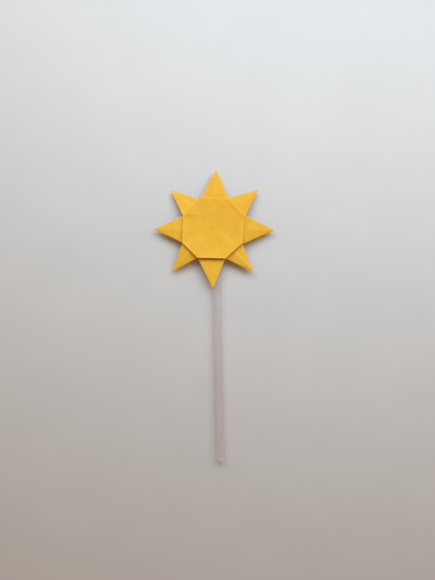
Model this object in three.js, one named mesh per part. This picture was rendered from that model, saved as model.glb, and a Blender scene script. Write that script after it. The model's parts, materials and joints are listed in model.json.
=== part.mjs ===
// A folded paper sun on a clear plastic stick. It lies face up, with the stick running along -Y.
//
// The sun is one square sheet folded into an eight-sided face with eight pointed rays. Every facet
// between two creases is a thin plate of its own, because a crease is a hinge: each ray bends about
// the crease at its base, and everything behind the face stays together as the hub.
//
// Millimetres, +Z up. The origin is the centre of the underside of the whole part's box.
import * as THREE from "three";

// Paper: a 75 mm square sheet
const SHEET = 75;
const PAPER = 0.15;
const LAYER_GAP = 0.1;
const LAYER_PITCH = PAPER + LAYER_GAP;

// The regular fold that the hand-folded outline departs from: its face is SHEET / 2 across flats
const APOTHEM = SHEET / 4;
const HALF_SIDE = APOTHEM * Math.tan(Math.PI / 8);

// Stick and the tape that holds it on the back
const STICK_RADIUS = 2.9;
const STICK_LENGTH = 150;
const STICK_TOP_Y = 1; // the hidden end, measured from the face's centre
const STICK_X = 1.45; // the stick's axis passes this far right of the face's centre
const TAPE = 0.08;
const TAPE_WIDTH = 12;
const TAPE_HALF_LENGTH = 9;
const TAPE_LEAVES_PAPER = 4.2;
const TAPE_Y = -9;
const FIT = 0.05; // air between the tape, the stick and the paper

// Clearances at the creases and corners, so that a ray swings without rubbing
const CREASE_CLEARANCE = 0.35;
const CORNER_CLEARANCE = 0.45;
const HUB_CLEARANCE = 0.25;

// Folded layers, counted up from the back of the hub
const BACK_FLAP_LAYER = 0;
const KITE_LAYER = 1;
const TUCK_LAYER = 2;
const FACE_LAYER = 3;

// The face's corners as folded by hand, anticlockwise: azimuth in degrees, distance from the centre
const CORNERS = [
  { azimuth: 19, reach: 21.1 },
  { azimuth: 65, reach: 20.3 },
  { azimuth: 109.5, reach: 20.8 },
  { azimuth: 156, reach: 20.4 },
  { azimuth: 204.5, reach: 21.4 },
  { azimuth: 241.5, reach: 21.2 },
  { azimuth: 291, reach: 20.8 },
  { azimuth: 332, reach: 20.9 },
];

// The rays, anticlockwise from east; ray i stands on the side that ends at corner i. Each has where
// its tip is seen from above (degrees, mm), how far it slopes back from the face (degrees), and how
// far outside the face's edge its base crease lies (mm).
const RAYS = [
  { name: "e", azimuth: -3.5, reach: 38.4, droop: 11, crease: 2.2 },
  { name: "ne", azimuth: 39, reach: 36.8, droop: 11, crease: 1 },
  { name: "n", azimuth: 85.5, reach: 36.9, droop: 9, crease: 0 },
  { name: "nw", azimuth: 136.5, reach: 34.8, droop: 15, crease: 0 },
  { name: "w", azimuth: 180, reach: 36.3, droop: 14, crease: 0 },
  { name: "sw", azimuth: 226, reach: 36.9, droop: 16, crease: 0 },
  { name: "s", azimuth: 268.7, reach: 37.6, droop: 0, crease: 0 },
  { name: "se", azimuth: 311, reach: 36.9, droop: 15, crease: 0 },
];
const TIP_HALF_WIDTH = 0.7;
const FOLD_OVERLAP = 0.5; // how far a side fold of an E, N, W or S ray passes the middle, of its half base

// Behind the face
const FLAP_APEX = 1.6; // the inner ends of the flaps and kites stop this far from the centre
const KITE_SHOULDER = 1.4;

// Materials
const paperFront = new THREE.MeshStandardMaterial({ color: 0xe9b53d, roughness: 0.75, metalness: 0 });
const paperBack = new THREE.MeshStandardMaterial({ color: 0xdfac46, roughness: 0.8, metalness: 0 });
const clearPlastic = new THREE.MeshStandardMaterial({
  color: 0xd9d8d4,
  roughness: 0.15,
  metalness: 0,
  transparent: true,
  opacity: 0.45,
});
const clearTape = new THREE.MeshStandardMaterial({
  color: 0xe8e6df,
  roughness: 0.2,
  metalness: 0,
  transparent: true,
  opacity: 0.4,
});

// Heights
const STICK_AXIS_Z = TAPE + FIT + STICK_RADIUS;
const HUB_BACK_Z = STICK_AXIS_Z + STICK_RADIUS + FIT;
const layerZ = (layer) => HUB_BACK_Z + layer * LAYER_PITCH;

const radians = THREE.MathUtils.degToRad;
const polar = (azimuth, reach) =>
  new THREE.Vector2(Math.cos(radians(azimuth)), Math.sin(radians(azimuth))).multiplyScalar(reach);

// A plate of paper with a straight-sided outline, lying in the XY plane from height z up.
function plate(name, outline, z, material) {
  const geometry = new THREE.ExtrudeGeometry(new THREE.Shape(outline), {
    depth: PAPER,
    bevelEnabled: false,
  });
  const mesh = new THREE.Mesh(geometry, material);
  mesh.name = name;
  mesh.position.z = z;
  return mesh;
}

// The side of the face that a ray stands on: its ends, its middle, and its outward and along directions.
function sideOf(index) {
  const before = CORNERS[(index + CORNERS.length - 1) % CORNERS.length];
  const from = polar(before.azimuth, before.reach);
  const to = polar(CORNERS[index].azimuth, CORNERS[index].reach);
  const along = to.clone().sub(from).normalize();
  const outward = new THREE.Vector2(along.y, -along.x);
  const middle = from.clone().add(to).multiplyScalar(0.5);
  return { middle, along, outward, half: from.distanceTo(to) / 2 };
}

// A point given by its distance outward from a side and its distance along the side from the middle.
function fromSide(side, out, along) {
  return side.middle.clone().addScaledVector(side.outward, out).addScaledVector(side.along, along);
}

const isCorner = (ray) => ray.name.length === 2; // ne, nw, sw and se are the sheet's own corners
const isJoinedToFace = (ray) => ray.name === "nw"; // its top layer is the face's own sheet

function face() {
  const outline = CORNERS.map((corner) => polar(corner.azimuth, corner.reach));
  return plate("face_panel", outline, layerZ(FACE_LAYER), paperFront);
}

// The turned-under corner behind an edge of the face: a right-angled triangle, whose long side runs on
// out to the ray's crease where that lies outside the edge.
function tuckedCorner(ray, side) {
  const half = side.half - CORNER_CLEARANCE;
  const longSide = [fromSide(side, 0, -half), fromSide(side, 0, half)];
  const strip = [
    fromSide(side, ray.crease, -half + ray.crease),
    fromSide(side, ray.crease, half - ray.crease),
  ];
  if (ray.crease > 0) longSide.splice(1, 0, ...strip);
  const outline = [fromSide(side, -HALF_SIDE, 0), ...longSide];
  return plate(`tucked_corner_${ray.name}`, outline, layerZ(TUCK_LAYER), paperBack);
}

// The pleat between the face's east edge and the ray's crease, which shows as a narrow strip.
function pleat(ray, side) {
  const half = side.half - CORNER_CLEARANCE - ray.crease / 2;
  const outline = [
    fromSide(side, -HALF_SIDE / 2, -half + HALF_SIDE / 2),
    fromSide(side, ray.crease, -half),
    fromSide(side, ray.crease, half),
    fromSide(side, -HALF_SIDE / 2, half - HALF_SIDE / 2),
  ];
  return plate(`pleat_${ray.name}`, outline, layerZ(TUCK_LAYER), paperFront);
}

// The triangle behind the face that carries an E, N, W or S ray on inwards to near the centre.
function backFlap(ray, side) {
  const half = side.half - 2 * CORNER_CLEARANCE;
  const outline = [
    side.outward.clone().multiplyScalar(FLAP_APEX),
    fromSide(side, -HUB_CLEARANCE, -half),
    fromSide(side, -HUB_CLEARANCE, half),
  ];
  return plate(`back_flap_${ray.name}`, outline, layerZ(BACK_FLAP_LAYER), paperBack);
}

// The kite between the face and the back flaps that carries a corner ray on inwards. Its shoulders
// reach in under the flaps on either side.
function kite(ray, side) {
  const half = side.half - 2 * CORNER_CLEARANCE;
  const shoulder = side.half + KITE_SHOULDER;
  const outline = [
    side.outward.clone().multiplyScalar(FLAP_APEX),
    fromSide(side, -2 * KITE_SHOULDER, -shoulder),
    fromSide(side, -HUB_CLEARANCE, -half),
    fromSide(side, -HUB_CLEARANCE, half),
    fromSide(side, -2 * KITE_SHOULDER, shoulder),
  ];
  return plate(`kite_${ray.name}`, outline, layerZ(KITE_LAYER), paperBack);
}

// A ray: its front layer and the two side folds behind it, in a group that turns about its crease.
function ray(shape, side) {
  const frontLayer = isJoinedToFace(shape) ? FACE_LAYER : TUCK_LAYER;
  const foldLayers = isCorner(shape) ? [frontLayer - 1, frontLayer - 1] : [frontLayer - 1, frontLayer - 2];
  const hingeZ = (layerZ(frontLayer) + PAPER + layerZ(foldLayers[1])) / 2;

  const hinge = fromSide(side, shape.crease, 0);
  const tip = polar(shape.azimuth, shape.reach).sub(hinge);
  const length = tip.dot(side.outward) / Math.cos(radians(shape.droop));
  const tipY = tip.dot(side.along);
  const half = side.half * (1 - shape.crease / (2 * APOTHEM)) - CORNER_CLEARANCE;
  const base = CREASE_CLEARANCE;

  const front = [
    new THREE.Vector2(base, -half),
    new THREE.Vector2(length, tipY - TIP_HALF_WIDTH),
    new THREE.Vector2(length, tipY + TIP_HALF_WIDTH),
    new THREE.Vector2(base, half),
  ];

  // Corner rays' side folds meet on the centre line; the others' folds pass it and overlap.
  const past = isCorner(shape) ? -LAYER_GAP : FOLD_OVERLAP * half;
  const pastTip = isCorner(shape) ? -LAYER_GAP : TIP_HALF_WIDTH / 2;
  const sideFold = (sign) => [
    new THREE.Vector2(base, sign * half),
    new THREE.Vector2(base, -sign * past),
    new THREE.Vector2(length, tipY - sign * pastTip),
    new THREE.Vector2(length, tipY + sign * TIP_HALF_WIDTH),
  ];

  const leaf = new THREE.Group();
  leaf.rotation.y = radians(shape.droop);
  leaf.add(
    plate(`ray_${shape.name}_front`, front, layerZ(frontLayer) - hingeZ, paperFront),
    plate(`ray_${shape.name}_left_fold`, sideFold(1), layerZ(foldLayers[0]) - hingeZ, paperBack),
    plate(`ray_${shape.name}_right_fold`, sideFold(-1), layerZ(foldLayers[1]) - hingeZ, paperBack),
  );
  const placed = new THREE.Group();
  placed.position.set(hinge.x, hinge.y, hingeZ);
  placed.rotation.z = side.outward.angle();
  placed.add(leaf);
  return placed;
}

// The stick: a solid rod with rounded ends, turned about its own axis along Y.
function stick() {
  const profile = [];
  const steps = 6;
  const middle = STICK_LENGTH / 2 - STICK_RADIUS;
  for (const end of [-1, 1]) {
    for (let step = 0; step <= steps; step += 1) {
      const angle = (end < 0 ? step : steps - step) * (Math.PI / 2 / steps);
      const y = end * (middle + STICK_RADIUS * Math.cos(angle));
      profile.push(new THREE.Vector2(STICK_RADIUS * Math.sin(angle), y));
    }
  }
  profile[0].x = 0;
  profile[profile.length - 1].x = 0;
  const mesh = new THREE.Mesh(new THREE.LatheGeometry(profile, 32), clearPlastic);
  mesh.name = "stick";
  mesh.position.set(STICK_X, STICK_TOP_Y - STICK_LENGTH / 2, STICK_AXIS_Z);
  return mesh;
}

// One side of the tape's section in X and Z: flat under the paper, then down to and round the stick.
function tapeLine(radius, flatZ) {
  const leave = new THREE.Vector2(TAPE_LEAVES_PAPER, flatZ - STICK_AXIS_Z);
  const touch = leave.angle() - Math.acos(radius / leave.length());
  const bottom = -Math.PI / 2;
  const points = [new THREE.Vector2(TAPE_HALF_LENGTH, leave.y), leave];
  const steps = 6;
  for (let step = 0; step < steps; step += 1) {
    const angle = touch + ((bottom - touch) * step) / steps;
    points.push(new THREE.Vector2(Math.cos(angle), Math.sin(angle)).multiplyScalar(radius));
  }
  const mirrored = points.map((point) => new THREE.Vector2(-point.x, point.y)).reverse();
  return [...points, new THREE.Vector2(0, -radius), ...mirrored];
}

function tape() {
  const paperSide = tapeLine(STICK_RADIUS + FIT, HUB_BACK_Z - FIT);
  const outerSide = tapeLine(STICK_RADIUS + FIT + TAPE, HUB_BACK_Z - FIT - TAPE);
  const section = new THREE.Shape([...paperSide, ...outerSide.reverse()]);
  const geometry = new THREE.ExtrudeGeometry(section, { depth: TAPE_WIDTH, bevelEnabled: false });
  const mesh = new THREE.Mesh(geometry, clearTape);
  mesh.name = "tape";
  mesh.rotation.x = Math.PI / 2;
  mesh.position.set(STICK_X, TAPE_Y + TAPE_WIDTH / 2, STICK_AXIS_Z);
  return mesh;
}

const sun = new THREE.Group();
sun.add(face(), stick(), tape());
RAYS.forEach((shape, index) => {
  const side = sideOf(index);
  sun.add(ray(shape, side), isCorner(shape) ? kite(shape, side) : backFlap(shape, side));
  if (isCorner(shape) && !isJoinedToFace(shape)) sun.add(tuckedCorner(shape, side));
  if (!isCorner(shape) && shape.crease > 0) sun.add(pleat(shape, side));
});

const box = new THREE.Box3().setFromObject(sun, true);
const centre = box.getCenter(new THREE.Vector3());
sun.position.set(-centre.x, -centre.y, -box.min.z);

const group = new THREE.Group();
group.add(sun);
export default group;
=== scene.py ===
"""The looks of the folded paper sun on its clear stick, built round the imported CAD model.

Shapes are worked out in millimetres, in the CAD model's frame, and turned into metres as each mesh is
made. The camera looks straight down: +Y is up in the picture and +Z comes towards the camera.
"""

import json
import math

import bpy
import numpy as np
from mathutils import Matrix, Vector


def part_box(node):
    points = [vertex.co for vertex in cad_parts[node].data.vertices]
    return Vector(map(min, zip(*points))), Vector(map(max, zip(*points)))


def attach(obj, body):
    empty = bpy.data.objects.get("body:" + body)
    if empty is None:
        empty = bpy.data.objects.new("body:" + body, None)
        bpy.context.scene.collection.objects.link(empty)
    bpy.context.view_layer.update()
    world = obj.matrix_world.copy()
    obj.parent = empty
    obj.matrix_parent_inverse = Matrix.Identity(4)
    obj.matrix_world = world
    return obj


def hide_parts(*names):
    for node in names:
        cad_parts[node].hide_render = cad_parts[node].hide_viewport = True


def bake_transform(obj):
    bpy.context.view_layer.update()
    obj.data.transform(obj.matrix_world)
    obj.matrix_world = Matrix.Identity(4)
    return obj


MM = 0.001

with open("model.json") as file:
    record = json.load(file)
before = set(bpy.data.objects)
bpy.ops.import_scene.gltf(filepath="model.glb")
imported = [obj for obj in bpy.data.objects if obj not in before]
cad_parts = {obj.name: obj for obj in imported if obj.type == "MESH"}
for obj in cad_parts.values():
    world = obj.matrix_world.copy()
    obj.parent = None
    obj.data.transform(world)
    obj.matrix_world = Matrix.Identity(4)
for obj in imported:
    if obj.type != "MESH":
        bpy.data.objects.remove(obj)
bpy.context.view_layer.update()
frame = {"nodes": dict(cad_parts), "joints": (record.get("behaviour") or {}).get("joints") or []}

# The camera stands straight above this point, this far above the paper
VIEW_CENTRE = np.array([1.02, 16.94])
VIEW_DISTANCE = 330
VIEW_HEIGHT = 365.4  # how much of the table the picture's long side shows
VIEW_TURN = -1.26  # degrees


# ---------------------------------------------------------------- what the frame says, in millimetres


def node_points(node):
    """Every vertex of a CAD node."""
    return np.array([vertex.co for vertex in frame["nodes"][node].data.vertices]) / MM


def outline_corners(node):
    """The corners of a flat CAD plate seen from above, anticlockwise, and their middle."""
    corners = np.unique(node_points(node)[:, :2].round(3), axis=0)
    middle = corners.mean(axis=0)
    turn = np.arctan2(corners[:, 1] - middle[1], corners[:, 0] - middle[0])
    return corners[np.argsort(turn)], middle


CORNERS, CENTRE = outline_corners("face_panel")

# ---------------------------------------------------------------- paper, folds and layers

PAPER = 0.09
STEP = 0.45  # the meshes' spacing

# The radius of a fold: pressed flat behind the face, along a ray, where it springs open a little, round
# the face, and along a pleat
HUB_ROLL = 0.06
RAY_ROLL = 0.12
FACE_ROLL = 0.10
PLEAT_ROLL = 0.05

# The angles at which a fold's half turn is divided
FACE_TURNS = np.radians(np.arange(0, 181, 22.5))
FOLD_TURNS = np.radians(np.arange(0, 181, 30))

# The heights of the layers
FACE_Z = 6.82
KITE_Z = 6.50
FLAP_Z = 6.26
PLEAT_Z = 6.56
CORNER_PLEAT_Z = 6.68

# How far the face springs up from the layers below it: at the middle of each side, and at the corner
# where that side meets the next one anticlockwise
SIDE_LIFT = {"e": 0.35, "ne": 0.3, "n": 0.15, "nw": 0.0, "w": 0.7, "sw": 1.3, "s": 1.8, "se": 1.4}
CORNER_LIFT = {"e": 0.3, "ne": 0.15, "n": 0.0, "nw": 0.0, "w": 0.9, "sw": 1.4, "s": 1.4, "se": 0.7}
LIFT_POWER = 1.8  # how closely the lift keeps to the rim
LIFT_SMOOTHING = 7.0  # degrees round the face

# A folded edge stands up from the sheet behind it by its pinch, over this distance
PINCH = {"e": 0.09, "ne": 0.38, "n": 0.02, "nw": 0.0, "w": 0.08, "sw": 0.1, "s": 0.1, "se": 0.1}
PINCH_SPREAD = 0.6

# The height of the crease along each ray's middle, and how steeply the ray's two halves fall away from it
RAY_CREASE = {"e": 0.05, "ne": 0.03, "n": 0.025, "nw": 0.08, "w": 0.04, "sw": 0.1, "s": 0.02, "se": 0.13}
ROOF = {"e": 0.07, "ne": 0.03, "n": 0.0, "nw": 0.0, "w": 0.06, "sw": 0.05, "s": 0.03, "se": 0.09}

# How far a ray's right and left edges, looking out from the face, start from the face's corners, along
# the crease
BASE_SHIFT = {"n": (-1.9, 0.0), "nw": (1.9, 0.0), "ne": (-0.7, 0.0), "e": (-0.8, 1.2)}

# Half the width of a ray's blunt tip, and how much shorter than the CAD ray it is
TIP_HALF = {"n": 0.6, "s": 0.55}
USUAL_TIP_HALF = 0.42
TIP_TRIM = {"n": 0.6}
TIP_LENGTH = 0.35  # of the blunt end

# The share of the CAD ray's slope, where it isn't all of it
DROOP = {"e": 0.75, "w": 0.4, "se": 0.35, "sw": 0.7}

# Painted shade beside the crease at a ray's base, where the face's edge shades the ray, and how far out it
# reaches
CREASE_PAINTED_SHADE = {"s": 0.6, "se": 0.5, "sw": 0.5, "w": 0.25, "e": 0.25}
CREASE_PAINTED_SHADE_REACH = 3.6

# How much painted shade lies along a folded edge that faces away from the window, over what distance, and
# how steeply a ray's two edges turn outwards
EDGE_PAINTED_SHADE = 0.5
EDGE_PAINTED_SHADE_WIDTH = 0.35
EDGE_TURN = math.radians(25)

# How pale the folds are painted, rubbed paper and a painted highlight where they catch the light, and how
# far from the fold it shows. A crease is the paler the higher it stands
FACE_EDGE_WEAR_AND_HIGHLIGHT = 0.75
EDGE_WEAR_AND_HIGHLIGHT = 0.7
WEAR_AND_HIGHLIGHT_WIDTH = 0.3
CREASE_WEAR_AND_HIGHLIGHT = 6
CREASE_WEAR_AND_HIGHLIGHT_WIDTH = 0.25

# The flat crease between the face and the NW ray, and how far the ray's middle crease runs on into the face
NW_FOLD = 0.07
NW_CREASE_RUN = 8.5

# How far the sheets undulate: the face, a ray, a pleat, and the kite behind the NW ray
FACE_RIPPLE = 0.09
RAY_RIPPLE = 0.04
PLEAT_RIPPLE = 0.02
KITE_RIPPLE = 0.01

CREASE_ROUNDING = 0.12
FACE_CREASE_SPREAD = 1.0
RAY_CREASE_SPREAD = 0.8
RAY_PUFF = 0.22  # how much a ray swells between its edges
SEAM_HALF = 0.06  # half the gap between the two folded-under sides of a corner ray


class Ray:
    """One ray: its crease, its tip and its base corners. u runs outwards from the crease and v along it."""

    def __init__(self, joint):
        self.body = joint["child"]
        self.name = self.body.removeprefix("ray_")
        self.is_corner = len(self.name) == 2
        self.hinge = np.array(joint["pos_m"]) / MM
        self.outward = np.array([-joint["axis"][1], joint["axis"][0]])
        self.along = np.array([-self.outward[1], self.outward[0]])
        front = node_points(f"ray_{self.name}_front")
        reach = (front[:, :2] - self.hinge[:2]) @ self.outward
        tip = front[reach > reach.max() - 0.5].mean(axis=0)
        sunk = (self.hinge[2] - tip[2]) / VIEW_DISTANCE
        tip[:2] += (tip[:2] - VIEW_CENTRE) * sunk  # seen from above, a sunk tip looks nearer the middle
        self.tip_u, self.tip_v = self.local(tip[:2]) - [TIP_TRIM.get(self.name, 0), 0]
        self.tip_half = TIP_HALF.get(self.name, USUAL_TIP_HALF)
        self.slope = DROOP.get(self.name, 1) * (self.hinge[2] - tip[2]) / self.tip_u
        nearest = sorted(CORNERS, key=lambda corner: -self.local(corner)[0])[:2]
        base = sorted((self.local(corner) for corner in nearest), key=lambda point: point[1])
        self.base_right, self.base_left = base
        right_shift, left_shift = BASE_SHIFT.get(self.name, (0, 0))
        self.foot_right, self.foot_left = base[0] + [0, right_shift], base[1] + [0, left_shift]
        self.base_u = (base[0][0] + base[1][0]) / 2
        self.half = (base[1][1] - base[0][1]) / 2
        self.centre_u, self.centre_v = self.local(CENTRE)

    def local(self, point):
        """u and v of one point."""
        offset = np.asarray(point) - self.hinge[:2]
        return np.array([offset @ self.outward, offset @ self.along])

    def grid(self, x, y):
        """u and v from arrays of x and y."""
        u = (x - self.hinge[0]) * self.outward[0] + (y - self.hinge[1]) * self.outward[1]
        v = (x - self.hinge[0]) * self.along[0] + (y - self.hinge[1]) * self.along[1]
        return u, v

    def plan(self, u, v):
        """Points seen from above, from arrays of u and v."""
        return self.hinge[:2] + np.multiply.outer(u, self.outward) + np.multiply.outer(v, self.along)


RAYS = {ray.name: ray for ray in map(Ray, frame["joints"])}


# ---------------------------------------------------------------- curves


def smooth_step(value, low, high):
    t = np.clip((np.asarray(value, float) - low) / (high - low), 0, 1)
    return t * t * (3 - 2 * t)


def ramp(value, rounding):
    """0 below 0 and value above it, with a rounded corner."""
    return (np.sqrt(value**2 + rounding**2) + value) / 2


def ridge(distance, spread):
    """1 on a crease, falling off on either side of it with straight flanks."""
    return np.exp(-(np.sqrt(distance**2 + CREASE_ROUNDING**2) - CREASE_ROUNDING) / spread)


def fold_falloff(distance, width=WEAR_AND_HIGHLIGHT_WIDTH):
    """1 on a fold, fading with the distance from it."""
    return np.exp(-distance / width)


def ripple(x, y, seed, wavelength):
    """Gentle unevenness of a sheet that has been handled, between about -1 and 1."""
    draw = np.random.RandomState(seed)
    total = np.zeros(np.broadcast(x, y).shape)
    for _ in range(6):
        turn = draw.uniform(0, 2 * math.pi)
        length = wavelength * draw.uniform(0.7, 1.6)
        phase = draw.uniform(0, 2 * math.pi)
        total += np.sin((x * math.cos(turn) + y * math.sin(turn)) * 2 * math.pi / length + phase)
    return total / 4


# ---------------------------------------------------------------- meshes


def grid_faces(rows, columns, first=0):
    """The quads of a grid of points, rows by columns, as numbers of the points."""
    start = first + np.arange(rows - 1)[:, None] * columns + np.arange(columns - 1)[None, :]
    start = start.ravel()
    return np.stack([start, start + 1, start + columns + 1, start + columns], axis=1)


def with_height(plan, z):
    """Points from their places seen from above and their heights."""
    return np.concatenate([plan, z[..., None]], axis=-1)


def store_values(mesh, name, values):
    """Gives a mesh one number for each vertex, which its material reads by name."""
    layer = mesh.attributes.new(name, "FLOAT", "POINT")
    layer.data.foreach_set("value", np.concatenate(values).astype(np.float32))


class Sheet:
    """Grids of points that meet edge to edge, with how pale the paper is painted on its folds (rubbed paper
    and painted highlight), how much painted shade lies on it, and which faces are folded under."""

    def __init__(self):
        self.points, self.faces, self.wear, self.shade, self.back = [], [], [], [], []
        self.count = 0

    def add(self, points, wear, back=None, shade=0.0):
        """Adds a grid: points is rows x columns x 3, and wear and shade are rows x columns or one
        number. back marks the faces that are folded under, or is True for all of them."""
        rows, columns = points.shape[:2]
        faces = grid_faces(rows, columns, self.count)
        self.points.append(points.reshape(-1, 3))
        self.wear.append(np.broadcast_to(wear, (rows, columns)).ravel())
        self.shade.append(np.broadcast_to(shade, (rows, columns)).ravel())
        self.faces.append(faces)
        if back is None:
            back = np.zeros((rows - 1, columns - 1), bool)
        self.back.append(np.broadcast_to(back, (rows - 1, columns - 1)).ravel())
        self.count += rows * columns

    def object(self, name, front, behind, thickness=PAPER):
        """One mesh of paper, with its thickness, from all the grids."""
        points = np.concatenate(self.points)
        faces = np.concatenate(self.faces)
        mesh = bpy.data.meshes.new(name)
        mesh.from_pydata((points * MM).tolist(), [], faces.tolist())
        mesh.materials.append(front)
        mesh.materials.append(behind)
        mesh.polygons.foreach_set("material_index", np.concatenate(self.back).astype(np.int32))
        store_values(mesh, "wear", self.wear)
        store_values(mesh, "shade", self.shade)
        piece = linked(name, mesh)
        weld = piece.modifiers.new("weld", "WELD")
        weld.merge_threshold = 0.004 * MM
        thicken = piece.modifiers.new("thicken", "SOLIDIFY")
        thicken.thickness = thickness * MM
        thicken.offset = 0
        thicken.use_even_offset = False
        return finished(piece)


def linked(name, mesh):
    piece = bpy.data.objects.new(name, mesh)
    bpy.context.scene.collection.objects.link(piece)
    return piece


def finished(piece, sharp_degrees=40):
    """Applies a piece's modifiers, and shades it smooth but for its sharp edges."""
    bpy.context.view_layer.update()
    evaluated = piece.evaluated_get(bpy.context.evaluated_depsgraph_get())
    mesh = bpy.data.meshes.new_from_object(evaluated)
    old = piece.data
    piece.modifiers.clear()
    piece.data = mesh
    bpy.data.meshes.remove(old)
    mesh.name = piece.name
    mesh.polygons.foreach_set("use_smooth", np.ones(len(mesh.polygons), bool))
    mesh.set_sharp_from_angle(angle=math.radians(sharp_degrees))
    return piece


# ---------------------------------------------------------------- material nodes


class Nodes:
    """A material's node tree, with short calls for the nodes that it needs."""

    def __init__(self, name):
        self.material = bpy.data.materials.new(name)
        self.material.use_nodes = True
        self.tree = self.material.node_tree
        self.shader = self.tree.nodes["Principled BSDF"]
        coordinates = self.tree.nodes.new("ShaderNodeTexCoord")
        self.place = coordinates.outputs["Object"]

    def link(self, source, target):
        self.tree.links.new(source, target)

    def feed(self, socket, value):
        """Sets a socket to a number or colour, or links it."""
        if isinstance(value, bpy.types.NodeSocket):
            self.link(value, socket)
        else:
            socket.default_value = value

    def stretched(self, scale):
        node = self.tree.nodes.new("ShaderNodeMapping")
        self.link(self.place, node.inputs["Vector"])
        node.inputs["Scale"].default_value = scale
        return node.outputs["Vector"]

    def noise(self, size_mm, detail=3, roughness=0.5, vector=None, distortion=0.0):
        node = self.tree.nodes.new("ShaderNodeTexNoise")
        self.link(vector or self.place, node.inputs["Vector"])
        node.inputs["Scale"].default_value = 1 / (size_mm * MM)
        node.inputs["Detail"].default_value = detail
        node.inputs["Roughness"].default_value = roughness
        node.inputs["Distortion"].default_value = distortion
        return node.outputs["Fac"]

    def attribute(self, name):
        node = self.tree.nodes.new("ShaderNodeAttribute")
        node.attribute_name = name
        return node.outputs["Fac"]

    def remap(self, value, low, high, new_low=0.0, new_high=1.0):
        """Stretches a range of values to another one. Most of a noise's values lie between 0.3 and 0.7."""
        node = self.tree.nodes.new("ShaderNodeMapRange")
        self.link(value, node.inputs["Value"])
        node.inputs["From Min"].default_value = low
        node.inputs["From Max"].default_value = high
        node.inputs["To Min"].default_value = new_low
        node.inputs["To Max"].default_value = new_high
        return node.outputs["Result"]

    def math(self, operation, first, second):
        node = self.tree.nodes.new("ShaderNodeMath")
        node.operation = operation
        self.feed(node.inputs[0], first)
        self.feed(node.inputs[1], second)
        return node.outputs["Value"]

    def mix(self, factor, first, second):
        """Two colours mixed. A mix node's colours are its sockets 6 and 7, and the result is output 2."""
        node = self.tree.nodes.new("ShaderNodeMix")
        node.data_type = "RGBA"
        self.feed(node.inputs["Factor"], factor)
        self.feed(node.inputs[6], first)
        self.feed(node.inputs[7], second)
        return node.outputs[2]

    def bump(self, height, distance_mm, strength=1.0, under=None):
        node = self.tree.nodes.new("ShaderNodeBump")
        node.inputs["Strength"].default_value = strength
        node.inputs["Distance"].default_value = distance_mm * MM
        self.link(height, node.inputs["Height"])
        if under is not None:
            self.link(under, node.inputs["Normal"])
        return node.outputs["Normal"]


# The paper is a little yellower and lighter towards the stick and to the left of it: over this distance on
# either side of the middle, along a direction that leans this much to the side
TINT_REACH = 15
TINT_LEAN = 0.5


def paper(name, bright, deep, rubbed_and_highlight, painted_shade_colour):
    """Origami paper: a matt colour with soft mottling and short fibres, paler on its folds, partly rubbed
    and partly a painted highlight, and darker with painted shade in the folds and along edges facing away
    from the window."""
    nodes = Nodes(name)
    apart = nodes.tree.nodes.new("ShaderNodeSeparateXYZ")
    nodes.link(nodes.place, apart.inputs["Vector"])
    lean = nodes.math("MULTIPLY", apart.outputs["X"], TINT_LEAN)
    place = nodes.math("ADD", apart.outputs["Y"], lean)
    middle = CENTRE[1] + TINT_LEAN * CENTRE[0]
    yellower_share = nodes.remap(place, (middle + TINT_REACH) * MM, (middle - TINT_REACH) * MM)
    mottle = nodes.remap(nodes.noise(6.0, detail=4), 0.3, 0.7, 0.0, 0.5)
    mottle = nodes.math("ADD", mottle, nodes.math("MULTIPLY", yellower_share, 0.5))
    along = nodes.noise(0.35, detail=4, vector=nodes.stretched((0.35, 1.0, 1.0)))
    across = nodes.noise(0.35, detail=4, vector=nodes.stretched((1.0, 0.4, 1.0)))
    fibres = nodes.math("ADD", nodes.math("MULTIPLY", along, 0.5), nodes.math("MULTIPLY", across, 0.5))
    colour = nodes.mix(mottle, deep, bright)
    tooth = nodes.remap(fibres, 0.3, 0.7, 0.0, 1.0)
    colour = nodes.mix(nodes.math("MULTIPLY", tooth, 0.18), colour, deep)
    patchiness = nodes.remap(nodes.noise(0.8, detail=5, roughness=0.6), 0.25, 0.6)
    wear = nodes.math("MULTIPLY", nodes.attribute("wear"), patchiness)
    # Painted shade in the folds and along edges that face away from the window
    colour = nodes.mix(nodes.attribute("shade"), colour, painted_shade_colour)
    # Paler on the folds: rubbed paper and a painted highlight
    colour = nodes.mix(wear, colour, rubbed_and_highlight)
    shader = nodes.shader
    nodes.link(colour, shader.inputs["Base Color"])
    nodes.link(nodes.remap(fibres, 0.3, 0.7, 0.62, 0.78), shader.inputs["Roughness"])
    shader.inputs["Specular IOR Level"].default_value = 0.3
    grain = nodes.bump(fibres, 0.02, 0.5)
    nodes.link(nodes.bump(nodes.noise(2.5, detail=2), 0.05, 0.4, under=grain), shader.inputs["Normal"])
    return nodes.material


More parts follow.
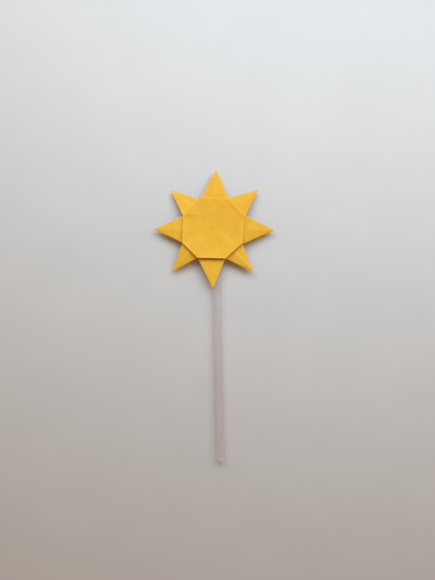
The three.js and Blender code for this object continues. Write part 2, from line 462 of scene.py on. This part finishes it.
def clear_plastic(name):
    """A slightly milky clear rod with fine drawing lines along it, and paler streaks painted into its
    colour: painted refraction lines.
    """
    nodes = Nodes(name)
    lines = nodes.noise(0.5, detail=3, vector=nodes.stretched((1.0, 0.02, 1.0)))
    clouds = nodes.noise(5.0, detail=3)
    shader = nodes.shader
    painted_refraction_streaks = nodes.remap(lines, 0.4, 0.65)
    colour = nodes.mix(clouds, (0.60, 0.52, 0.545, 1), (0.68, 0.60, 0.62, 1))
    # Painted refraction: paler streaks along the rod where a clear rod would bend light into lines
    colour = nodes.mix(nodes.math("MULTIPLY", painted_refraction_streaks, 0.6), colour, (0.85, 0.80, 0.80, 1))
    nodes.link(colour, shader.inputs["Base Color"])
    nodes.link(nodes.remap(lines, 0.3, 0.7, 0.12, 0.28), shader.inputs["Roughness"])
    nodes.link(nodes.remap(clouds, 0.3, 0.7, 0.27, 0.33), shader.inputs["Alpha"])
    shader.inputs["IOR"].default_value = 1.49
    nodes.link(nodes.bump(lines, 0.02, 0.4), shader.inputs["Normal"])
    return nodes.material


def clear_film(name):
    """Adhesive tape: a glossy clear film that shows small trapped bubbles."""
    nodes = Nodes(name)
    bubbles = nodes.remap(nodes.noise(4.0, detail=2), 0.5, 0.68)
    shader = nodes.shader
    nodes.link(nodes.mix(bubbles, (0.86, 0.85, 0.8, 1), (0.96, 0.95, 0.92, 1)), shader.inputs["Base Color"])
    nodes.link(nodes.remap(bubbles, 0, 1, 0.12, 0.35), shader.inputs["Roughness"])
    nodes.link(nodes.remap(bubbles, 0, 1, 0.22, 0.34), shader.inputs["Alpha"])
    nodes.link(nodes.bump(bubbles, 0.02, 0.4), shader.inputs["Normal"])
    return nodes.material


def table_top(name):
    """The plain pale surface that the sun lies on."""
    nodes = Nodes(name)
    clouds = nodes.remap(nodes.noise(40, detail=3), 0.3, 0.7)
    grain = nodes.noise(0.9, detail=4)
    shader = nodes.shader
    colour = nodes.mix(clouds, (0.61, 0.605, 0.6, 1), (0.63, 0.625, 0.62, 1))
    nodes.link(colour, shader.inputs["Base Color"])
    nodes.link(nodes.remap(grain, 0.3, 0.7, 0.75, 0.9), shader.inputs["Roughness"])
    shader.inputs["Specular IOR Level"].default_value = 0.1
    nodes.link(nodes.bump(grain, 0.03, 0.3), shader.inputs["Normal"])
    return nodes.material


# The painted shade's colour, on both sides of the paper
FOLD_PAINTED_SHADE_COLOUR = (0.66, 0.19, 0.003, 1)  # the colour deep in a fold, on both sides of the paper

PAPER_FRONT = paper(
    "golden_paper",
    bright=(0.825, 0.50, 0.033, 1),
    deep=(0.765, 0.385, 0.022, 1),
    rubbed_and_highlight=(0.93, 0.58, 0.075, 1),
    painted_shade_colour=FOLD_PAINTED_SHADE_COLOUR,
)
PAPER_BACK = paper(
    "golden_paper_behind",
    bright=(0.80, 0.48, 0.05, 1),
    deep=(0.74, 0.40, 0.03, 1),
    rubbed_and_highlight=(0.9, 0.58, 0.1, 1),
    painted_shade_colour=FOLD_PAINTED_SHADE_COLOUR,
)


# ---------------------------------------------------------------- the face, and the NW ray joined to it


def side_names():
    """For each side of the face, from corner i - 1 to corner i, the name of the ray that stands on it."""
    names = []
    for i, corner in enumerate(CORNERS):
        middle = (CORNERS[i - 1] + corner) / 2
        names.append(min(RAYS, key=lambda name: np.linalg.norm(RAYS[name].hinge[:2] - middle)))
    return names


SIDE_NAMES = side_names()


def side_frame(i):
    """One side of the face: its two ends, and its directions along and outwards."""
    start, end = CORNERS[i - 1], CORNERS[i]
    along = (end - start) / np.linalg.norm(end - start)
    return start, end, along, np.array([along[1], -along[0]])


def lift_table():
    """The rim's lift for each degree round the face, smoothed."""
    turns, lifts = [], []
    for i, name in enumerate(SIDE_NAMES):
        for point, lift in (((CORNERS[i - 1] + CORNERS[i]) / 2, SIDE_LIFT), (CORNERS[i], CORNER_LIFT)):
            turns.append(math.degrees(math.atan2(*(point - CENTRE)[::-1])) % 360)
            lifts.append(lift[name])
    order = np.argsort(turns)
    degrees = np.arange(360)
    plain = np.interp(degrees, np.array(turns)[order], np.array(lifts)[order], period=360)
    kernel = np.exp(-((np.arange(-20, 21) / LIFT_SMOOTHING) ** 2) / 2)
    kernel /= kernel.sum()
    return np.convolve(np.concatenate([plain[-20:], plain, plain[:20]]), kernel, "valid")


LIFTS = lift_table()


def rim_share(x, y):
    """0 at the face's centre and 1 all along its rim."""
    share = np.zeros(np.broadcast(x, y).shape)
    for i in range(len(CORNERS)):
        start, _, _, outward = side_frame(i)
        reach = (start - CENTRE) @ outward
        share = np.maximum(share, ((x - CENTRE[0]) * outward[0] + (y - CENTRE[1]) * outward[1]) / reach)
    return np.clip(share, 0, 1)


def pinched(x, y):
    """How far the face's folded edges stand up."""
    z = np.zeros(np.broadcast(x, y).shape)
    for i, name in enumerate(SIDE_NAMES):
        start, end, along, outward = side_frame(i)
        depth = (start[0] - x) * outward[0] + (start[1] - y) * outward[1]
        run = (x - start[0]) * along[0] + (y - start[1]) * along[1]
        between = smooth_step(run, -0.5, 1) * smooth_step(np.linalg.norm(end - start) - run, -0.5, 1)
        z = z + PINCH[name] * np.exp(-np.clip(depth, 0, None) / PINCH_SPREAD) * between
    return z


def face_height(x, y):
    """Height of the face's sheet, and of the NW ray that runs on from it."""
    turn = np.degrees(np.arctan2(y - CENTRE[1], x - CENTRE[0])) % 360
    rim_lift = np.interp(turn, np.arange(361), np.append(LIFTS, LIFTS[0]))
    z = FACE_Z + rim_lift * rim_share(x, y) ** LIFT_POWER
    z += FACE_RIPPLE * ripple(x, y, seed=4, wavelength=9.0)
    ray = RAYS["nw"]
    u, v = ray.grid(x, y)
    off_axis = v - ray.tip_v * smooth_step(u, 0, ray.tip_u)
    z -= ray.slope * ramp(u, 0.15)
    z += RAY_CREASE["nw"] * ridge(off_axis, FACE_CREASE_SPREAD) * smooth_step(u, -NW_CREASE_RUN, -3)
    z += NW_FOLD * ridge(u, 0.7) * smooth_step(np.abs(v), ray.half + 1, ray.half - 1)
    return z + pinched(x, y) + face_creases(x - CENTRE[0], y - CENTRE[1])


def face_creases(x, y):
    """Flattened creases left in the face from folding it, by the distance from its centre: a dent's edge
    that runs in from the W side, and a faint line down the middle."""
    level = 8.7 - 0.03 * x
    south = np.clip(level - y, 0, None)
    north = np.clip(y - level, 0, None)
    reach = smooth_step(x, -6.5, -12) * smooth_step(x, -21, -17)
    dent = 0.38 * np.exp(-south / 1.1 - north / 3.5) * reach
    middle = smooth_step(y, -6, 2) * smooth_step(y, 17, 11)
    return dent + 0.06 * ridge(x - 0.3, 1.0) * middle


def face_wear_and_highlight(x, y):
    """How pale the sheet is painted along the flat creases of the NW ray, rubbed paper and painted
    highlight.
    """
    ray = RAYS["nw"]
    u, v = ray.grid(x, y)
    off_axis = v - ray.tip_v * smooth_step(u, 0, ray.tip_u)
    along = 0.35 * (smooth_step(u, -NW_CREASE_RUN, -5) + smooth_step(u, -1, 1))
    line = fold_falloff(np.abs(off_axis)) * along
    across = fold_falloff(np.abs(u - 0.5)) * smooth_step(np.abs(v), ray.half, ray.half - 1)
    # The last term makes the whole NW ray a little paler: painted sheen
    return line + 0.3 * across + 0.25 * smooth_step(u, 0, 0.5)


def straight_edge(start, end, side):
    """One edge of the outline, and whose it is. It runs anticlockwise."""
    along = (end - start) / np.linalg.norm(end - start)
    outward = np.array([along[1], -along[0]])
    return {"start": start, "end": end, "outward": outward, "side": side, "on_ray": side.startswith("nw_")}


def face_edges():
    """The outline of the face with the NW ray, as straight edges."""
    edges = []
    for i, name in enumerate(SIDE_NAMES):
        start, end = CORNERS[i - 1], CORNERS[i]
        if name != "nw":
            edges.append(straight_edge(start, end, name))
            continue
        ray = RAYS["nw"]
        right_tip, left_tip = (ray.plan(ray.tip_u, ray.tip_v + sign * ray.tip_half) for sign in (-1, 1))
        foot = ray.plan(*ray.foot_right)
        edges.append(straight_edge(start, foot, "beside_nw"))
        edges.append(straight_edge(foot, right_tip, "nw_right"))
        edges.append(straight_edge(right_tip, left_tip, "nw_tip"))
        edges.append(straight_edge(left_tip, end, "nw_left"))
    return edges


HEM_MARGIN = 0.3  # how far the turned-under paper reaches in at its ends
HEM_DEPTH = 3.5  # how far it reaches in, at most, at the N, E, S and W sides
HEM_SINK = 0.3  # the share of the rim's lift by which its inner end hangs down
TIP_HEM = 0.4  # how far it reaches in at the NW ray's tip


def hem_target(edge, points, shares):
    """Where the turned-under paper ends, for points along an edge."""
    if edge["side"] == "nw_tip":
        return points - TIP_HEM * edge["outward"]
    if edge["on_ray"]:
        ray = RAYS["nw"]
        u = np.array([ray.local(point)[0] for point in points])
        gap = SEAM_HALF if edge["side"] == "nw_left" else -SEAM_HALF
        return ray.plan(u, ray.tip_v * u / ray.tip_u + gap)
    length = np.linalg.norm(edge["end"] - edge["start"])
    depth = length * np.minimum(shares, 1 - shares)
    if edge["side"] in ("n", "e", "s", "w"):
        depth = np.minimum(depth, HEM_DEPTH)
    return points - (depth[:, None] + HEM_MARGIN) * edge["outward"]


def mitre(before, after):
    """Outward direction at a corner, long enough to keep both edges' roll the same."""
    middle = before + after
    middle /= np.linalg.norm(middle)
    return middle / (middle @ before)


# The shares of the way from the face's centre to its rim at which its mesh has a row
FACE_RINGS = np.concatenate([np.linspace(0.004, 0.97, 52), [0.985, 1.0]])


def add_face_top(sheet, edge, inset):
    """The part of the face between its centre and one edge."""
    flat = CENTRE + FACE_RINGS[:, None, None] * (inset - CENTRE)
    x, y = flat[..., 0], flat[..., 1]
    edge_distance = (1 - FACE_RINGS)[:, None] * np.abs((inset - CENTRE) @ edge["outward"])
    wear = face_wear_and_highlight(x, y) + FACE_EDGE_WEAR_AND_HIGHLIGHT * fold_falloff(edge_distance)
    sheet.add(with_height(flat, face_height(x, y)), np.clip(wear, 0, 1))


def add_face_roll(sheet, inset, outward):
    """The fold along one edge."""
    rim = face_height(inset[:, 0], inset[:, 1])
    roll = inset[None] + FACE_ROLL * np.sin(FACE_TURNS)[:, None, None] * outward[None]
    z = rim[None] - FACE_ROLL * (1 - np.cos(FACE_TURNS))[:, None]
    sheet.add(with_height(roll, z), FACE_EDGE_WEAR_AND_HIGHLIGHT)


def add_face_hem(sheet, edge, inset, outward, shares):
    """The paper turned under along one edge."""
    target = hem_target(edge, inset, shares)
    if not edge["on_ray"]:
        for end in (0, -1):
            target[end] = inset[end] - HEM_MARGIN * outward[end]
    steps = np.linspace(0, 1, 16)
    hem = inset[None] + steps[:, None, None] * (target - inset)[None]
    z = face_height(hem[..., 0], hem[..., 1]) - 2 * FACE_ROLL
    rim_lift = face_height(inset[:, 0], inset[:, 1]) - FACE_Z
    sink = 0.0 if edge["on_ray"] else HEM_SINK
    z -= sink * np.clip(rim_lift, 0, None)[None] * smooth_step(steps, 0, 1)[:, None]
    sheet.add(with_height(hem, z), 0.0, back=True)


def sun_face():
    """The face, its turned-under edges and the NW ray, all one sheet."""
    sheet = Sheet()
    edges = face_edges()
    for i, edge in enumerate(edges):
        length = np.linalg.norm(edge["end"] - edge["start"])
        shares = np.linspace(0, 1, max(4, round(length / STEP)) + 1)
        points = edge["start"] + shares[:, None] * (edge["end"] - edge["start"])
        outward = np.tile(edge["outward"], (len(points), 1))
        outward[0] = mitre(edges[i - 1]["outward"], edge["outward"])
        outward[-1] = mitre(edge["outward"], edges[(i + 1) % len(edges)]["outward"])
        inset = points - FACE_ROLL * outward
        add_face_top(sheet, edge, inset)
        add_face_roll(sheet, inset, outward)
        add_face_hem(sheet, edge, inset, outward, shares)
    return sheet.object("sun_face", PAPER_FRONT, PAPER_BACK)


# ---------------------------------------------------------------- the other rays, a folded strip each


APEX = 1.6  # how far from the face's centre the flaps and kites begin, and half their width there
APEX_HALF = 0.35
SHOULDER_DEPTH = 2.8  # how far in from the crease a kite is widest, and how far it reaches past the corners
KITE_SHOULDER = 1.4
WAIST_DEPTH = 2.5  # the same for the waist of a flap whose ray starts away from a corner
FLAP_WAIST = 1.0
FOOT_INSET = 0.15  # how far a ray's edges stay inside the places where they start
FLAP_OVERLAP = 0.5  # how far the folded-under sides of an N, E, S or W ray overlap, in half widths
OVERLAP_AIR = 0.015  # and the air between them where they do
FRONT_COLUMNS = 41
FLAP_COLUMNS = 20


def petal_edges(ray, u):
    """v of a petal's right and left folded edges at each u."""
    edges = []
    for sign, base, foot in ((-1, ray.base_right, ray.foot_right), (1, ray.base_left, ray.foot_left)):
        path = [(ray.centre_u + APEX, ray.centre_v + sign * APEX_HALF)]
        if ray.is_corner:
            path.append((ray.base_u - SHOULDER_DEPTH, base[1] + sign * KITE_SHOULDER))
        elif foot[1] != base[1]:
            path.append((base[0] - WAIST_DEPTH, base[1] - sign * FLAP_WAIST))
        path.append((foot[0], foot[1] - sign * FOOT_INSET))
        path.append((ray.tip_u - TIP_LENGTH, ray.tip_v + sign * ray.tip_half))
        path.append((ray.tip_u, ray.tip_v + sign * ray.tip_half / 2))
        edges.append(np.interp(u, *zip(*path)))
    return edges


def petal_rows(ray):
    """The values of u at which a petal's mesh has a row: at even steps, and at its corners."""
    steps = np.arange(ray.centre_u + APEX, ray.tip_u - TIP_LENGTH, STEP)
    marks = [ray.base_left[0], ray.base_right[0], ray.base_u - SHOULDER_DEPTH]
    marks += [ray.tip_u - TIP_LENGTH, ray.tip_u]
    return np.unique(np.concatenate([steps, marks]).round(3))


def petal_height(ray, u, v, across):
    """Height of a petal's front layer. across is -1 and 1 at its edges."""
    level = KITE_Z if ray.is_corner else FLAP_Z
    z = level - ray.slope * ramp(u - 0.3, 0.5)
    outside = smooth_step(u, 0, 3)
    short_of_tip = smooth_step(ray.tip_u - u, 0, 6)
    half = ray.half * (1 - np.clip(u, 0, None) / ray.tip_u)
    z = z + RAY_PUFF * (1 - across**2) * outside * short_of_tip
    z = z + RAY_CREASE[ray.name] * ridge(across * half, RAY_CREASE_SPREAD) * outside
    z = z - ROOF[ray.name] * half * (np.sqrt(across**2 + 0.01) - 0.1) * outside
    seed = ord(ray.name[0]) + len(ray.name)
    return z + RAY_RIPPLE * ripple(u, v, seed, wavelength=8.0) * outside


def petal_marks(ray, u, across, half, drop):
    """How pale a petal's folds are painted, rubbed paper and painted highlight, and how much painted shade
    lies on it.
    half is half its width at each u, and drop is how far each point lies below the front."""
    edge_distance = (1 - np.abs(across)) * half
    off_axis = np.abs(across) * half
    # away: how far an edge faces away from the window, where painted shade goes instead of the painted
    # highlight
    away = -np.sign(across) * ray.along[1] * math.cos(EDGE_TURN) - ray.outward[1] * math.sin(EDGE_TURN)
    away = np.clip(away, 0, 1) * smooth_step(u, 1, 3)
    # Paler folded edges, rubbed paper and a painted highlight, left off the edges that face away from the
    # window
    wear = EDGE_WEAR_AND_HIGHLIGHT * fold_falloff(edge_distance) * (1 - away)
    wear += CREASE_WEAR_AND_HIGHLIGHT * RAY_CREASE[ray.name] * fold_falloff(off_axis, CREASE_WEAR_AND_HIGHLIGHT_WIDTH) * smooth_step(u, -1, 1)
    is_behind = drop > 0.75 * drop.max(axis=1, keepdims=True)
    # Painted shade by the crease at the ray's base, under the face's edge
    shade = CREASE_PAINTED_SHADE.get(ray.name, 0) * (1 - smooth_step(u - ray.base_u, -0.3, CREASE_PAINTED_SHADE_REACH))
    # Painted shade along the edges that face away from the window
    shade = shade + EDGE_PAINTED_SHADE * away * fold_falloff(edge_distance, EDGE_PAINTED_SHADE_WIDTH)
    return np.clip(np.where(is_behind, 0, wear), 0, 1), np.clip(shade, 0, 1)


def side_fold(middle, half, sign, radius, past):
    """Columns of v, and of the drop below the front, that go from the front's edge round the fold and in
    along the side folded behind it, to a distance past the middle. sign is 1 at the left edge and -1 at
    the right one."""
    edge_v = middle + sign * (half - radius)
    end_v = middle + sign * past
    v = [edge_v + sign * radius * math.sin(turn) for turn in FOLD_TURNS]
    drop = [radius * (1 - math.cos(turn)) for turn in FOLD_TURNS]
    for share in np.linspace(0, 1, FLAP_COLUMNS)[1:]:
        v.append(edge_v + share * (end_v - edge_v))
        drop.append(2 * radius)
    return np.stack(v, axis=1), np.stack(drop, axis=1)


def petal_section(ray, u, middle, half):
    """v of each point of a petal, and its drop below the front, by rows along u: the right side's fold
    from its inner end outwards, the front from right to left, and the left side's fold."""
    roll = HUB_ROLL + (RAY_ROLL - HUB_ROLL) * smooth_step(u, 0, 4)
    roll = np.minimum(roll, 0.4 * half)
    if ray.is_corner:
        past, right_roll = np.minimum(SEAM_HALF, 0.2 * half), roll
    else:
        past, right_roll = -FLAP_OVERLAP * half, roll + (PAPER / 2 + OVERLAP_AIR) * np.minimum(1, half)
    left_v, left_drop = side_fold(middle, half, 1, roll, past)
    right_v, right_drop = side_fold(middle, half, -1, right_roll, past)
    even = np.linspace(-1, 1, FRONT_COLUMNS)
    spread = np.sign(even) * np.abs(even) ** 1.15  # closer together near the crease
    front_v = right_v[:, :1] + (left_v[:, :1] - right_v[:, :1]) * (spread[None] + 1) / 2
    inwards = slice(None, 0, -1)
    v = np.concatenate([right_v[:, inwards], front_v, left_v[:, 1:]], axis=1)
    drop = np.concatenate([right_drop[:, inwards], np.zeros_like(front_v), left_drop[:, 1:]], axis=1)
    return v, drop


def petal(ray):
    """A ray with its side folds behind it, running on inwards behind the face to near its centre."""
    rows = petal_rows(ray)
    right, left = petal_edges(ray, rows)
    middle, half = (left + right) / 2, (left - right) / 2
    v, drop = petal_section(ray, rows, middle, half)
    u = np.broadcast_to(rows[:, None], v.shape)
    across = np.clip((v - middle[:, None]) / half[:, None], -1, 1)
    z = petal_height(ray, u, v, across) - drop
    wear, shade = petal_marks(ray, u, across, half[:, None], drop)
    folded = np.zeros(v.shape[1] - 1, bool)
    folded[: FLAP_COLUMNS - 1] = True
    folded[1 - FLAP_COLUMNS :] = True
    sheet = Sheet()
    sheet.add(with_height(ray.plan(u, v), z), wear, folded[None], shade)
    piece = sheet.object(f"petal_{ray.name}", PAPER_FRONT, PAPER_BACK)
    blend_at_crease(piece)
    inner = f"kite_{ray.name}" if ray.is_corner else f"back_flap_{ray.name}"
    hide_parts(*ray_nodes(ray), inner)
    return piece


def ray_nodes(ray):
    """The CAD nodes of a ray."""
    return [f"ray_{ray.name}_{layer}" for layer in ("front", "left_fold", "right_fold")]


def blend_at_crease(piece):
    """Bakes the piece's place into its mesh."""
    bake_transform(piece)


# ---------------------------------------------------------------- layers of their own by the face's edge


PLEAT_REACH = 3.5  # how far a pleat reaches in behind the face's edge
PLEAT_RETURN = 2.5  # and how far its folded-under half does
PLEAT_TAPER = 0.4  # how much its ends slant in, for each millimetre that it shows


def pleat(ray, replaced, width_left, width_right, z):
    """A folded strip that shows past an edge of the face, by these widths at its ends. Its fold lies
    beside the ray's crease."""
    half = ray.half - 0.3
    columns = np.linspace(-1, 1, round(2 * half / STEP) + 1)
    middle = (ray.base_left[1] + ray.base_right[1]) / 2
    outer_u = ray.base_u + width_right + (width_left - width_right) * (columns + 1) / 2
    v_outer = middle + columns * (half - np.clip(outer_u - ray.base_u, 0, None) * PLEAT_TAPER)
    v_inner = middle + columns * (half - PLEAT_REACH)
    rows = []
    for share in np.linspace(0, 1, 14):
        u = ray.base_u - PLEAT_REACH + share * (outer_u - PLEAT_ROLL - ray.base_u + PLEAT_REACH)
        rows.append((u, v_inner + share * (v_outer - v_inner), 0))
    for turn in FOLD_TURNS[1:]:
        u = outer_u - PLEAT_ROLL + PLEAT_ROLL * math.sin(turn)
        rows.append((u, v_outer, PLEAT_ROLL * (1 - math.cos(turn))))
    for share in np.linspace(0, 1, 10)[1:]:
        u = outer_u - PLEAT_ROLL + share * (ray.base_u - PLEAT_RETURN - outer_u)
        rows.append((u, v_outer + share * (v_inner - v_outer) * 0.7, 2 * PLEAT_ROLL))
    u, v, drop = (np.array([np.broadcast_to(row[i], columns.shape) for row in rows]) for i in range(3))
    height = z - drop + PLEAT_RIPPLE * ripple(u, v, seed=11, wavelength=5.0)
    # The pleat's fold is paler: rubbed paper and a painted highlight
    wear = EDGE_WEAR_AND_HIGHLIGHT * fold_falloff(np.abs(u - outer_u[None]))
    sheet = Sheet()
    # The strip takes its ray's painted crease shade
    sheet.add(with_height(ray.plan(u, v), height), wear, shade=CREASE_PAINTED_SHADE.get(ray.name, 0))
    piece = sheet.object(replaced.replace("tucked_corner", "pleat"), PAPER_FRONT, PAPER_BACK)
    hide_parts(replaced)
    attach(piece, "hub")
    return piece


def inner_kite(ray):
    """The kite behind the NW side, whose ray belongs to the face's sheet: two layers of paper."""
    rows = np.arange(ray.centre_u + APEX, ray.base_u - 0.25, STEP)
    right, left = petal_edges(ray, rows)
    middle, half = (left + right) / 2, (left - right) / 2
    v = middle[:, None] + half[:, None] * np.linspace(-1, 1, FRONT_COLUMNS)[None]
    u = np.broadcast_to(rows[:, None], v.shape)
    sheet = Sheet()
    for drop, is_back in ((0.0, False), (2 * HUB_ROLL, True)):
        z = KITE_Z - drop + KITE_RIPPLE * ripple(u, v, seed=5, wavelength=6.0)
        sheet.add(with_height(ray.plan(u, v), z), 0.0, back=is_back)
    piece = sheet.object("kite_behind_nw", PAPER_FRONT, PAPER_BACK)
    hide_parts("kite_nw")
    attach(piece, "hub")
    return piece


# ---------------------------------------------------------------- stick and tape


STICK_SIDES = 64
STICK_OVALITY = 0.004

# How far a stick's end is rounded, on its two sides: the lower end is melted a little lopsided
LOWER_ROUNDING = (1.3, 4.5)
UPPER_ROUNDING = (1.6, 1.6)
FINE_STRETCH = 5.0  # the stretch at each end whose rings lie closer together


def stick_frame():
    """X and Z of the stick's axis, its radius, and Y of its lower and upper ends."""
    low, high = (np.array(corner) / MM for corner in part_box("stick"))
    return (low[0] + high[0]) / 2, (low[2] + high[2]) / 2, (high[2] - low[2]) / 2, low[1], high[1]


def stick_rings(end_y, inward, rounding, distances):
    """Rings of points round the stick, from one end inwards."""
    axis_x, axis_z, radius, _, _ = stick_frame()
    around = np.radians(np.arange(0, 360, 360 / STICK_SIDES))
    shortest, longest = rounding
    corner_length = shortest + (longest - shortest) * (1 - np.cos(around)) / 2
    rings = []
    for distance in distances:
        share = np.clip(distance / corner_length, 0, 1)
        r = radius * np.sqrt(1 - (1 - share) ** 2) * (1 - STICK_OVALITY * np.cos(2 * around + 1))
        y = np.full_like(r, end_y + inward * distance)
        rings.append(np.stack([axis_x + r * np.cos(around), y, axis_z + r * np.sin(around)], 1))
    return rings


def tube_faces(rows, columns):
    """The faces of a tube of rings, closed at both ends on a point that follows the rings' points."""
    faces = []
    for row in range(rows - 1):
        for i in range(columns):
            j = (i + 1) % columns
            low, high = row * columns, (row + 1) * columns
            faces.append((low + i, high + i, high + j, low + j))
    bottom, top = rows * columns, rows * columns + 1
    last = (rows - 1) * columns
    for i in range(columns):
        j = (i + 1) % columns
        faces.append((bottom, i, j))
        faces.append((top, last + j, last + i))
    return faces


def stick():
    """The clear rod, with its lower end melted and its upper one rounded."""
    axis_x, axis_z, _, low_y, high_y = stick_frame()
    near_end = FINE_STRETCH * np.linspace(0, 1, 22) ** 2
    to_middle = np.linspace(FINE_STRETCH, (high_y - low_y) / 2, 30)
    distances = np.concatenate([near_end[1:], to_middle[1:]])
    lower = stick_rings(low_y, 1, LOWER_ROUNDING, distances)
    upper = stick_rings(high_y, -1, UPPER_ROUNDING, distances[:-1])
    rings = lower + upper[::-1]
    ends = [[axis_x, low_y, axis_z], [axis_x, high_y, axis_z]]
    points = np.concatenate([*rings, ends])
    mesh = bpy.data.meshes.new("rod")
    mesh.from_pydata((points * MM).tolist(), [], tube_faces(len(rings), STICK_SIDES))
    mesh.materials.append(clear_plastic("milky_clear_plastic"))
    piece = finished(linked("rod", mesh), 60)
    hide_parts("stick")
    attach(piece, "hub")
    return piece


FILM = 0.06  # the tape's thickness
FILM_GAP = 0.06  # from the stick's surface to the middle of the film
FILM_TOP = 0.04  # from the top of the CAD tape to the middle of the film
WING_START = 4.6  # how far from the stick's axis the tape lies flat under the paper
WING_BEND = 4.2  # and how far from it the bend down to the stick is
TOOTH = 0.35


def tape_section(half_width, radius, flat):
    """The film's section across the stick, from its axis: flat under the paper, then down to the stick
    and round it."""
    bend = np.array([WING_BEND, flat])
    touch = math.atan2(bend[1], bend[0]) - math.acos(radius / np.linalg.norm(bend))
    line = [np.array([x, flat]) for x in np.linspace(half_width, WING_START, 12)]
    line.append(bend)
    for turn in np.linspace(touch, -math.pi / 2, 24):
        line.append(radius * np.array([math.cos(turn), math.sin(turn)]))
    line = np.array(line)
    return np.concatenate([line, (line * [-1, 1])[::-1][1:]])


def tape():
    """The strip of tape that wraps the stick behind the face, with serrated ends."""
    low, high = (np.array(corner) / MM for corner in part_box("tape"))
    axis_x, axis_z, radius, _, _ = stick_frame()
    section = tape_section(high[0] - axis_x, radius + FILM_GAP, high[2] - FILM_TOP - axis_z)
    rows = np.linspace(low[1], high[1], 49)
    points = np.zeros((len(rows), len(section), 3))
    points[..., 0] = axis_x + section[None, :, 0]
    points[..., 1] = rows[:, None]
    points[..., 2] = axis_z + section[None, :, 1]
    teeth = TOOTH * (np.arange(len(rows)) % 2)
    points[:, 0, 0] -= teeth
    points[:, -1, 0] += teeth
    film = clear_film("clear_film")
    sheet = Sheet()
    sheet.add(points, 0.0)
    piece = sheet.object("tape_strip", film, film, thickness=FILM)
    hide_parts("tape")
    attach(piece, "hub")
    return piece


# ---------------------------------------------------------------- the sun


def build_sun():
    """Every piece. The face's sheet stands for the corners turned under it, but the pleats at the E and
    NE sides are pieces of their own."""
    face = sun_face()
    nw = RAYS["nw"]
    blend_at_crease(face)
    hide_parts("face_panel", *ray_nodes(nw), "tucked_corner_se", "tucked_corner_sw")
    inner_kite(nw)
    for ray in RAYS.values():
        if ray.name != "nw":
            petal(ray)
    pleat(RAYS["e"], "pleat_e", width_left=2.2, width_right=2.2, z=PLEAT_Z)
    pleat(RAYS["ne"], "tucked_corner_ne", width_left=1.4, width_right=0.6, z=CORNER_PLEAT_Z)
    stick()
    tape()


# ---------------------------------------------------------------- floor, light and camera


FLOOR_HALF = 550


def floor():
    """The table, as wide as the views from low down need."""
    half = FLOOR_HALF
    points = [(-half, -half, 0), (half, -half, 0), (half, half, 0), (-half, half, 0)]
    mesh = bpy.data.meshes.new("floor")
    mesh.from_pydata([tuple(MM * value for value in point) for point in points], [], [(0, 1, 2, 3)])
    mesh.materials.append(table_top("pale_table"))
    linked("floor", mesh)


def area_light(name, azimuth, elevation, distance, size, energy, colour):
    """A soft rectangular light that faces the middle of the face, by its direction from there in degrees
    and its distance in metres."""
    azimuth, elevation = math.radians(azimuth), math.radians(elevation)
    level = math.cos(elevation)
    direction = Vector((math.cos(azimuth) * level, math.sin(azimuth) * level, math.sin(elevation)))
    data = bpy.data.lights.new(name, "AREA")
    data.shape = "RECTANGLE"
    data.size, data.size_y = size
    data.energy = energy
    data.color = colour
    light = bpy.data.objects.new(name, data)
    bpy.context.scene.collection.objects.link(light)
    light.location = Vector((*CENTRE * MM, 0)) + direction * distance
    light.rotation_euler = direction.to_track_quat("Z", "Y").to_euler()
    light.visible_camera = False


def lights():
    """A wide cool window beyond the top of the picture, and a dim warm surround, which the camera sees as
    a plain pale wall."""
    area_light(
        "window",
        azimuth=76,
        elevation=55,
        distance=0.40,
        size=(0.7, 0.25),
        energy=2.53,
        colour=(0.75, 0.893, 1.0),
    )
    world = bpy.data.worlds.new("surround")
    bpy.context.scene.world = world
    world.use_nodes = True
    background = world.node_tree.nodes["Background"]
    background.inputs["Color"].default_value = (1.0, 0.674, 0.434, 1)
    background.inputs["Strength"].default_value = 0.371
    wall = world.node_tree.nodes.new("ShaderNodeBackground")
    wall.inputs["Color"].default_value = (0.56, 0.54, 0.52, 1)
    ray_kind = world.node_tree.nodes.new("ShaderNodeLightPath")
    choice = world.node_tree.nodes.new("ShaderNodeMixShader")
    link = world.node_tree.links.new
    link(ray_kind.outputs["Is Camera Ray"], choice.inputs["Fac"])
    link(background.outputs["Background"], choice.inputs[1])
    link(wall.outputs["Background"], choice.inputs[2])
    link(choice.outputs["Shader"], world.node_tree.nodes["World Output"].inputs["Surface"])


def camera():
    """Straight down, as the photograph was taken."""
    data = bpy.data.cameras.new("camera")
    data.sensor_width = 36
    data.lens = data.sensor_width * VIEW_DISTANCE / VIEW_HEIGHT
    view = bpy.data.objects.new("camera", data)
    bpy.context.scene.collection.objects.link(view)
    view.location = Vector((*VIEW_CENTRE, VIEW_DISTANCE + KITE_Z)) * MM
    view.rotation_euler = (0, 0, math.radians(VIEW_TURN))
    bpy.context.scene.camera = view


build_sun()
floor()
lights()
camera()
bpy.context.scene.view_settings.view_transform = "Standard"
